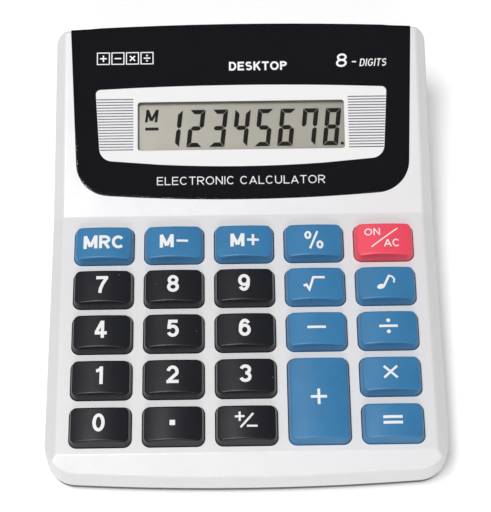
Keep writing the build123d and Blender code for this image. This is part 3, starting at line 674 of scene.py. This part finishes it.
# ---- operators ------------------------------------------------------------------------------
class DESKCALC_OT_case(bpy.types.Operator):
    """Paint the upper case silver, finish the dark lower case, its cover, feet and screws"""

    bl_idname = "deskcalc.case"
    bl_label = "Case Finish"

    def execute(self, context):
        s = context.scene.deskcalc_case
        paint = moulded(
            "Silver paint", tuple(s.silver), s.gloss, 5200.0, 0.10, 0.10, 0.03,
            metal=s.metal, coat=0.25, dust=0.004,
        )
        dark = moulded("Dark case plastic", tuple(s.dark), 0.5, 2600.0, 0.5, 0.12, 0.1)
        finish_nodes(["upper_case"], paint)
        finish_nodes(["lower_case", "battery_cover"], dark)
        finish_nodes(["rubber_feet"], moulded("Foot rubber", (0.02, 0.02, 0.02), 0.75, 1800.0, 0.4))
        steel = metal_finish("Zinc-plated steel", (0.62, 0.62, 0.64), 0.35)
        finish_nodes(["case_screws", "board_screws", "lcd_screws"], steel)
        return {"FINISHED"}


class DESKCALC_OT_keys(bpy.types.Operator):
    """Give the keys their satin black, blue and red plastic"""

    bl_idname = "deskcalc.keys"
    bl_label = "Key Finish"

    def execute(self, context):
        s = context.scene.deskcalc_keys
        grain, shine = 3000.0, 0.32
        black = moulded(
            "Black key plastic", tuple(s.black), 0.3, grain, 0.12, 0.08, 0.05, dust=0.01, shine=shine
        )
        blue = moulded(
            "Blue key plastic", tuple(s.blue), 0.32, grain, 0.16, 0.16, 0.28, dust=0.008, shine=shine
        )
        finish_nodes(BLACK_KEYS, black)
        finish_nodes(BLUE_KEYS, blue)
        finish_nodes(RED_KEYS, moulded("Red key plastic", tuple(s.red), 0.36, grain, 0.12, 0.06, 0.06))
        return {"FINISHED"}


class DESKCALC_OT_legends(bpy.types.Operator):
    """Print the white legends on the crowned key tops"""

    bl_idname = "deskcalc.legends"
    bl_label = "Key Legends"

    def execute(self, context):
        white = ink("White key ink", (0.9, 0.9, 0.9), 0.4)
        legends = key_legends(context.scene.deskcalc_keys)
        for key, row in {**BLACK_KEYS, **BLUE_KEYS, **RED_KEYS}.items():
            low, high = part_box(key)
            middle_x = (low.x + high.x) / 2 / MM
            middle_run = (MIDDLE_ROW - row) * ROW_PITCH + KEY_DEPTH / 2

            def on_key(x, y, out):
                crown = KEY_TOP - CROWN_RADIUS + sqrt(CROWN_RADIUS**2 - x**2)
                return KEYPAD.point(middle_x + x, middle_run + y, crown + out)

            piece = layer(key + "_legend", legends[key], [], on_key, (-INK, INK), LEGEND_STEP)
            hand_over(piece, key, white)
        return {"FINISHED"}


def lens_outline():
    """Outline of the lens's back face in face coordinates, read from the CAD mesh."""
    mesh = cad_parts["display_lens"].data
    edges = {}
    spots = {}
    for polygon in mesh.polygons:
        places = [DISPLAY.locate(mesh.vertices[index].co) for index in polygon.vertices]
        if any(abs(place[2] - LENS_BACK) > 0.02 for place in places):
            continue
        names = [(round(place[0], 3), round(place[1], 3)) for place in places]
        for name, place in zip(names, places):
            spots[name] = place[:2]
        for k in range(len(names)):
            edges[names[k], names[(k + 1) % len(names)]] = True
    follow = {a: b for a, b in edges if (b, a) not in edges}
    start = next(iter(follow))
    ring = [start]
    while follow[ring[-1]] != start:
        ring.append(follow[ring[-1]])
    return anticlockwise([spots[name] for name in ring])


def rounded_ring(corners):
    """Closed outline from corner points (x, y, radius), each rounded by an arc; radius 0 keeps a point."""
    ring = []
    count = len(corners)
    for i, (x, y, radius) in enumerate(corners):
        if not radius:
            ring.append((x, y))
            continue
        here = Vector((x, y))
        back = (Vector(corners[i - 1][:2]) - here).normalized()
        ahead = (Vector(corners[(i + 1) % count][:2]) - here).normalized()
        half_turn = back.angle(ahead) / 2
        centre = here + (back + ahead).normalized() * radius / sin(half_turn)
        first = here + back * radius / (sin(half_turn) / cos(half_turn)) - centre
        last = here + ahead * radius / (sin(half_turn) / cos(half_turn)) - centre
        a0 = atan2(first.y, first.x)
        sweep = (atan2(last.y, last.x) - a0 + pi) % (2 * pi) - pi
        for k in range(9):
            turn = a0 + sweep * k / 8
            ring.append((centre.x + radius * cos(turn), centre.y + radius * sin(turn)))
    return ring


def bowed(x0, x1, middle, ends):
    """Points of a shallow arch from x0 to x1: its height in the middle and at the ends, ends left out."""
    centre, reach = (x0 + x1) / 2, abs(x1 - x0) / 2
    steps = 14
    spots = [x0 + (x1 - x0) * k / steps for k in range(1, steps)]
    return [(x, middle + (ends - middle) * ((x - centre) / reach) ** 2, 0) for x in spots]


def back_lean():
    """How far the lens's back wall moves up the display face for each step out of it."""
    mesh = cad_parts["display_lens"].data
    back = max(mesh.polygons, key=lambda face: face.area if face.normal.dot(DISPLAY.along) > BACKWARD else 0)
    return -back.normal.dot(DISPLAY.normal) / back.normal.dot(DISPLAY.along)


def painted_shade_band(name, ring, low, high):
    """Closed thin black band standing in the gap around the outline, leaning with the lens at the back:
    painted shade of the narrow gap between lens and case.
    """
    count = len(ring)
    lean = back_lean()
    places = []
    for depth in (EDGE_DEPTH, EDGE_DEPTH + INK):
        moved = inset_ring(ring, depth)
        outward = [Vector(b) - Vector(a) for a, b in zip(inset_ring(ring, depth + 1), moved)]
        for level in (low, high):
            for (x, y), away in zip(moved, outward):
                shift = lean * (level - LENS_BACK) if away.normalized().y > BACKWARD else 0
                places.append(DISPLAY.point(x, y + shift, level) * MM)
    faces = []
    for k in range(count):
        n = (k + 1) % count
        faces.append((k, n, count + n, count + k))
        faces.append((2 * count + n, 2 * count + k, 3 * count + k, 3 * count + n))
        faces.append((count + k, count + n, 3 * count + n, 3 * count + k))
        faces.append((n, k, 2 * count + k, 2 * count + n))
    return new_piece(name, places, faces)


def inset_ring(ring, depth):
    """Outline moved inwards; the ring runs anticlockwise."""
    moved = []
    for k, here in enumerate(ring):
        back = (Vector(here) - Vector(ring[k - 1])).normalized()
        ahead = (Vector(ring[(k + 1) % len(ring)]) - Vector(here)).normalized()
        along = (back + ahead).normalized()
        across = Vector((-along.y, along.x)) * depth / max(SHARPEST_OUTLINE, along.dot(back))
        moved.append((here[0] + across.x, here[1] + across.y))
    return moved


def window_ring():
    """Outline of the display window."""
    x0, x1, y0, y1 = WINDOW
    return rounded_ring([(x, y, WINDOW_CORNER) for x, y in ((x0, y0), (x1, y0), (x1, y1), (x0, y1))])


def panel_ring():
    """Barrel-shaped outline of the white panel."""
    left, right, middle, ends = PANEL_TOP
    low_left, low_right, low_middle, low_ends = PANEL_LOW
    corners = [(low_left, low_ends, PANEL_LOW_CORNER)]
    corners += bowed(low_left, low_right, low_middle, low_ends)[2:-2]
    corners += [(low_right, low_ends, PANEL_LOW_CORNER), (right, ends, PANEL_TOP_CORNER)]
    corners += bowed(right, left, middle, ends)[1:-1]
    corners += [(left, ends, PANEL_TOP_CORNER)]
    return rounded_ring(corners)


def panel_edge(y):
    """Left and right edge of the white panel at a run."""
    share = (y - PANEL_LOW[3]) / (PANEL_TOP[3] - PANEL_LOW[3])
    left = PANEL_LOW[0] + (PANEL_TOP[0] - PANEL_LOW[0]) * share
    right = PANEL_LOW[1] + (PANEL_TOP[1] - PANEL_LOW[1]) * share
    return left, right


class DESKCALC_OT_lens(bpy.types.Operator):
    """Make the lens clear, with the black print and the white panel behind it"""

    bl_idname = "deskcalc.lens"
    bl_label = "Lens and Prints"

    def execute(self, context):
        s = context.scene.deskcalc_lens
        finish_nodes(["display_lens"], clear_plastic("Clear acrylic", (1.0, 1.0, 1.0), 0.02, 1.4))
        finish_nodes(["lens_tape"], moulded("Black tape", (0.01, 0.01, 0.01), 0.7))
        black = ink("Black lens print", tuple(s.black), 0.8, 0.0)
        white = ink("White panel print", tuple(s.white), 0.8, 0.0)
        window = window_ring()
        outline = lens_outline()
        printed = inset_ring(outline, PRINT_DEPTH)
        sheet = layer("lens_print", [printed], [window], DISPLAY.point, SHEET_LEVELS)
        hand_over(sheet, "root", black)
        # Black band in the print ink standing in the gap round the lens: painted shade of the narrow gap.
        edge = painted_shade_band("lens_gap_painted_shade", outline, SHEET_LEVELS[0], LENS_FRONT)
        hand_over(edge, "root", black)
        panel = layer("lens_panel", [panel_ring()], [window], DISPLAY.point, PANEL_LEVELS)
        hand_over(panel, "root", white)
        return {"FINISHED"}


class DESKCALC_OT_lettering(bpy.types.Operator):
    """Print the plain lettering and the small emblem behind the lens"""

    bl_idname = "deskcalc.lettering"
    bl_label = "Lens Lettering"

    def execute(self, context):
        white = ink("White lens lettering", tuple(context.scene.deskcalc_lens.white))
        pieces = {
            "lens_title": centred_word("ELECTRONIC CALCULATOR", -0.6, 10.1, 2.6, 0.14, 0.52, 0.97),
            "lens_note": (
                word("8", 29.8, 47.9, 4.5, 0.33, 0, 1.15, 0.1)[0]
                + bar(35.0, 49.6, 36.3, 49.6, 0.22)
                + word("DIGITS", 37.3, 48.1, 2.5, 0.17, 0.34, 0.7, 0.18)[0]
            ),
            "lens_centre_note": word("DESKTOP", -3.9, 47.2, 2.9, 0.3, 0.42, 0.92)[0],
            "lens_emblem": self.emblem(),
        }
        for name, outlines in pieces.items():
            piece = layer(name, outlines, [], DISPLAY.point, PANEL_LEVELS, LETTERING_STEP)
            hand_over(piece, "root", white)
        return {"FINISHED"}

    def emblem(self):
        """Four small tiles holding the signs of arithmetic."""
        pieces = []
        tile, pitch, edge_half, sign_half = 1.9, 4.6, 0.16, 0.22
        reach, corner, dot, rise = 1.05, 0.8, 0.3, 0.85
        for column, sign in enumerate(("plus", "minus", "times", "divide")):
            x, y = -43.6 + column * pitch, 51.7
            edge = [(x - tile, y - tile), (x + tile, y - tile), (x + tile, y + tile), (x - tile, y + tile)]
            pieces += stroke(edge + edge[:1], edge_half)
            if sign == "plus":
                pieces += plus(x, y, reach, sign_half)
            if sign in ("minus", "divide"):
                pieces += bar(x - reach, y, x + reach, y, sign_half)
            if sign == "times":
                pieces += bar(x - corner, y - corner, x + corner, y + corner, sign_half)
                pieces += bar(x - corner, y + corner, x + corner, y - corner, sign_half)
            if sign == "divide":
                for side in (-1, 1):
                    pieces.append([(x + a, y + side * rise + b) for a, b in arc(0, 0, dot, dot, 0, 330)])
        return pieces


def ruled_tree():
    """Geometry Nodes tree: a row of thin bars, each as long as its place in the row asks."""
    tree = bpy.data.node_groups.new("Ruled lines", "GeometryNodeTree")
    tree.is_modifier = True
    number = "NodeSocketFloat"
    kinds = {
        "Count": "NodeSocketInt", "Pitch": number, "Width": number, "Thickness": number,
        "First length": number, "Last length": number, "Side": number, "Ink": "NodeSocketMaterial",
    }
    for label, kind in kinds.items():
        tree.interface.new_socket(label, in_out="INPUT", socket_type=kind)
    tree.interface.new_socket("Geometry", in_out="OUTPUT", socket_type="NodeSocketGeometry")
    given = tree.nodes.new("NodeGroupInput").outputs
    end = tree.nodes.new("NodeGroupOutput")
    link = tree.links.new

    def combined(**parts):
        """Vector of the given parts."""
        node = tree.nodes.new("ShaderNodeCombineXYZ")
        for axis, value in parts.items():
            link(value, node.inputs[axis])
        return node.outputs["Vector"]

    row = tree.nodes.new("GeometryNodeMeshLine")
    link(given["Count"], row.inputs["Count"])
    link(combined(Y=given["Pitch"]), row.inputs["Offset"])
    index = tree.nodes.new("GeometryNodeInputIndex")
    last = math_node(tree, "SUBTRACT", given["Count"], 1.0)
    share = math_node(tree, "DIVIDE", index.outputs["Index"], last)
    change = math_node(tree, "SUBTRACT", given["Last length"], given["First length"])
    reach = math_node(tree, "ADD", math_node(tree, "MULTIPLY", change, share), given["First length"])
    block = tree.nodes.new("GeometryNodeMeshCube")
    moved = tree.nodes.new("GeometryNodeTransform")
    link(block.outputs["Mesh"], moved.inputs["Geometry"])
    link(combined(X=math_node(tree, "MULTIPLY", given["Side"], 0.5)), moved.inputs["Translation"])
    copies = tree.nodes.new("GeometryNodeInstanceOnPoints")
    link(row.outputs["Mesh"], copies.inputs["Points"])
    link(moved.outputs["Geometry"], copies.inputs["Instance"])
    link(combined(X=reach, Y=given["Width"], Z=given["Thickness"]), copies.inputs["Scale"])
    real = tree.nodes.new("GeometryNodeRealizeInstances")
    link(copies.outputs["Instances"], real.inputs["Geometry"])
    paint = tree.nodes.new("GeometryNodeSetMaterial")
    link(real.outputs["Geometry"], paint.inputs["Geometry"])
    link(given["Ink"], paint.inputs["Material"])
    link(paint.outputs["Geometry"], end.inputs["Geometry"])
    return tree


class DESKCALC_OT_ruled_lines(bpy.types.Operator):
    """Rule the fine dark lines at both ends of the white panel"""

    bl_idname = "deskcalc.ruled_lines"
    bl_label = "Ruled Lines"

    def execute(self, context):
        s = context.scene.deskcalc_lens
        dark = ink("Dark line ink", (0.10, 0.105, 0.125))
        tree = ruled_tree()
        margin, thickness = 0.1, 0.01
        low_run = WINDOW[2] + 0.35
        high_run = low_run + (s.line_count - 1) * s.line_pitch / MM
        for side, name, inner in ((-1, "ruled_lines_left", -34.1), (1, "ruled_lines_right", 33.3)):
            pick = 0 if side < 0 else 1
            first = abs(panel_edge(low_run)[pick] - inner) - margin
            last = abs(panel_edge(high_run)[pick] - inner) - margin
            holder = bpy.data.objects.new(name, bpy.data.meshes.new(name))
            context.scene.collection.objects.link(holder)
            lines = holder.modifiers.new("Ruled lines", "NODES")
            lines.node_group = tree
            values = {
                "Count": s.line_count, "Pitch": s.line_pitch, "Width": s.line_width,
                "Thickness": thickness * MM, "First length": first * MM, "Last length": last * MM,
                "Side": float(side), "Ink": dark,
            }
            for socket in tree.interface.items_tree:
                if socket.in_out == "INPUT":
                    lines[socket.identifier] = values[socket.name]
            shown = holder.evaluated_get(context.evaluated_depsgraph_get())
            mesh = bpy.data.meshes.new_from_object(shown)
            holder.modifiers.remove(lines)
            holder.data = mesh
            for vertex in mesh.vertices:
                x, y, z = vertex.co / MM
                vertex.co = DISPLAY.point(inner + x, low_run + y, LINES_LEVEL + z) * MM
            hand_over(holder, "root", dark)
        return {"FINISHED"}


SEGMENTS = {
    "0": "abcdef", "1": "bc", "2": "abged", "3": "abgcd", "4": "fgbc",
    "5": "afgcd", "6": "afgedc", "7": "fabc", "8": "abcdefg", "9": "abfgcd",
}


def segment_outlines(width, height, thick, gap):
    """The seven segments of an upright digit, cut at a slant where they meet."""
    w, h, t, g, m = width, height, thick, gap, height / 2
    half = t / 2
    point = half * 0.7
    return {
        "a": [(g, h), (w - g, h), (w - t - g, h - t), (t + g, h - t)],
        "d": [(g, 0), (t + g, t), (w - t - g, t), (w - g, 0)],
        "f": [(0, h - g), (t, h - t - g), (t, m + half + g), (half, m + g), (0, m + point + g)],
        "b": [(w, h - g), (w, m + point + g), (w - half, m + g), (w - t, m + half + g), (w - t, h - t - g)],
        "e": [(0, g), (0, m - point - g), (half, m - g), (t, m - half - g), (t, t + g)],
        "c": [(w, g), (w - t, t + g), (w - t, m - half - g), (w - half, m - g), (w, m - point - g)],
        "g": [(half + g, m), (t + g, m + half), (w - t - g, m + half), (w - half - g, m),
              (w - t - g, m - half), (t + g, m - half)],
    }


class DESKCALC_OT_display(bpy.types.Operator):
    """Finish the display sheets and lay the dark digits on them"""

    bl_idname = "deskcalc.display"
    bl_label = "Liquid Crystal Display"

    def execute(self, context):
        s = context.scene.deskcalc_display
        ground = moulded("Display ground", tuple(s.ground), 0.32, 7000.0, 0.05, 0.05, 0.035)
        finish_nodes(["lcd_front_polariser", "lcd_reflector"], ground)
        glass = clear_plastic("Display glass", (0.92, 0.96, 0.94), 0.02, 1.5)
        finish_nodes(["lcd_front_glass", "lcd_rear_glass"], glass)
        finish_nodes(["lcd_holder"], moulded("Black holder plastic", (0.015, 0.015, 0.016), 0.5, 2600.0, 0.4))
        finish_nodes(["lcd_ribbon"], moulded("Amber ribbon", (0.45, 0.2, 0.03), 0.3))
        dark = ink("Display segment", tuple(s.segment), 0.6, 0.0)
        width, height = s.digit_width / MM, s.digit_height / MM
        outlines = []
        shapes = segment_outlines(width, height, SEGMENT_THICKNESS, SEGMENT_GAP)
        for place, digit in enumerate(s.digits):
            left = FIRST_DIGIT + place * s.digit_pitch / MM
            for name in SEGMENTS[digit]:
                outlines.append([(left + x + s.slant * y, DIGIT_RUN + y) for x, y in shapes[name]])
        outlines.append(arc(31.35, 23.5, 0.5, 0.5, 0, 345))
        digits = layer("display_digits", outlines, [], DISPLAY.point, DIGIT_LEVELS)
        hand_over(digits, "root", dark)
        flags = word("M", -30.6, 31.15, 4.1, 0.42, 0, 0.95, s.slant)[0]
        flags += bar(-30.5, 28.95, -26.3, 28.95, 0.48)
        marks = layer("display_flags", flags, [], DISPLAY.point, DIGIT_LEVELS)
        hand_over(marks, "root", dark)
        return {"FINISHED"}


class DESKCALC_OT_inner(bpy.types.Operator):
    """Finish what the case hides: board, mat, buzzer, battery, contacts and leads"""

    bl_idname = "deskcalc.inner"
    bl_label = "Inner Parts"

    def execute(self, context):
        plain = {
            "main_board": ("Board laminate", (0.05, 0.22, 0.09), 0.35),
            "key_mat": ("Grey silicone", (0.55, 0.55, 0.53), 0.55),
            "chip_blob": ("Black epoxy", (0.008, 0.008, 0.009), 0.25),
            "filter_capacitor": ("Capacitor sleeve", (0.05, 0.08, 0.3), 0.3),
            "disc_capacitors": ("Dipped ceramic", (0.6, 0.25, 0.05), 0.35),
            "board_resistors": ("Resistor lacquer", (0.62, 0.48, 0.28), 0.4),
            "buzzer_ceramic": ("Silvered ceramic", (0.75, 0.75, 0.72), 0.4),
            "battery_cell": ("Cell sleeve", (0.04, 0.11, 0.28), 0.3),
        }
        for name, (label, base, rough) in plain.items():
            finish_nodes([name], moulded(label, base, rough))
        red = moulded("Red lead", (0.55, 0.02, 0.02), 0.35)
        black = moulded("Black lead", (0.012, 0.012, 0.012), 0.35)
        finish_nodes(["battery_lead_red", "buzzer_lead_red"], red)
        finish_nodes(["battery_lead_black", "buzzer_lead_black"], black)
        nickel = metal_finish("Nickel plate", (0.68, 0.66, 0.6), 0.25)
        finish_nodes(["battery_spring", "battery_plate"], nickel)
        finish_nodes(["buzzer_disc"], metal_finish("Rolled brass", (0.76, 0.56, 0.22), 0.3))
        return {"FINISHED"}


def area_lamp(name, place, aim, width, depth, power):
    """Rectangular softbox turned towards a point."""
    data = bpy.data.lights.new(name, "AREA")
    data.shape = "RECTANGLE"
    data.size, data.size_y = width, depth
    data.energy = power
    lamp = bpy.data.objects.new(name, data)
    lamp.location = place
    lamp.rotation_euler = (Vector(aim) - Vector(place)).to_track_quat("-Z", "Y").to_euler()
    bpy.context.scene.collection.objects.link(lamp)


class DESKCALC_OT_stage(bpy.types.Operator):
    """Set the pale floor, the soft lamps and the camera"""

    bl_idname = "deskcalc.stage"
    bl_label = "Stage"

    def execute(self, context):
        s = context.scene.deskcalc_stage
        scene = context.scene
        scene.view_settings.view_transform = "Standard"
        corners = [(x * FLOOR_REACH, y * FLOOR_REACH, 0) for x, y in ((-1, -1), (1, -1), (1, 1), (-1, 1))]
        floor = new_piece("floor", corners, [(0, 1, 2, 3)])
        pale = moulded("Pale floor", (0.93, 0.93, 0.93), 0.6, 300.0, 0.02, 0.01, 0.01)
        glow = next(node for node in pale.node_tree.nodes if node.type == "BSDF_PRINCIPLED")
        glow.inputs["Emission Color"].default_value = (1, 1, 1, 1)
        glow.inputs["Emission Strength"].default_value = s.table
        floor.data.materials.append(pale)
        world = bpy.data.worlds.new("Soft sky")
        world.use_nodes = True
        sky = world.node_tree.nodes["Background"]
        sky.inputs["Color"].default_value = (1, 1, 1, 1)
        sky.inputs["Strength"].default_value = s.sky
        scene.world = world
        area_lamp("Top softbox", SOFTBOX_PLACE, LAMP_AIM, 1.0, 0.8, s.key_light)
        area_lamp("Front strip", STRIP_PLACE, LAMP_AIM, 1.4, 0.5, s.front_light)
        camera = bpy.data.objects.new("Camera", bpy.data.cameras.new("Camera"))
        camera.data.lens = s.focal
        camera.location = CAMERA_PLACE
        aim = Vector(CAMERA_AIM) - camera.location
        roll = Matrix.Rotation(CAMERA_ROLL, 4, "Z")
        camera.rotation_euler = (aim.to_track_quat("-Z", "Y").to_matrix().to_4x4() @ roll).to_euler()
        scene.collection.objects.link(camera)
        scene.camera = camera
        return {"FINISHED"}


class DESKCALC_PT_panel(bpy.types.Panel):
    """Sidebar panel with the settings and one button for each operator"""

    bl_idname = "DESKCALC_PT_panel"
    bl_label = "Desk Calculator"
    bl_space_type = "VIEW_3D"
    bl_region_type = "UI"
    bl_category = "Calculator"

    def draw(self, context):
        for name, group in SETTINGS.items():
            box = self.layout.box()
            for label in group.__annotations__:
                box.prop(getattr(context.scene, name), label)
        for operator in OPERATORS:
            self.layout.operator(operator.bl_idname)


SETTINGS = {
    "deskcalc_case": CaseSettings,
    "deskcalc_keys": KeySettings,
    "deskcalc_lens": LensSettings,
    "deskcalc_display": DisplaySettings,
    "deskcalc_stage": StageSettings,
}
OPERATORS = [
    DESKCALC_OT_stage,
    DESKCALC_OT_case,
    DESKCALC_OT_keys,
    DESKCALC_OT_legends,
    DESKCALC_OT_lens,
    DESKCALC_OT_lettering,
    DESKCALC_OT_ruled_lines,
    DESKCALC_OT_display,
    DESKCALC_OT_inner,
]


def register():
    """Register the settings, the operators and the panel."""
    for name, group in SETTINGS.items():
        bpy.utils.register_class(group)
        setattr(bpy.types.Scene, name, bpy.props.PointerProperty(type=group))
    for item in OPERATORS + [DESKCALC_PT_panel]:
        bpy.utils.register_class(item)


def unregister():
    """Remove what register added."""
    for item in [DESKCALC_PT_panel] + OPERATORS[::-1]:
        bpy.utils.unregister_class(item)
    for name, group in SETTINGS.items():
        delattr(bpy.types.Scene, name)
        bpy.utils.unregister_class(group)


def main():
    """Make every piece in order."""
    register()
    for operator in OPERATORS:
        getattr(bpy.ops.deskcalc, operator.bl_idname.split(".")[1])()


if __name__ == "__main__":
    main()
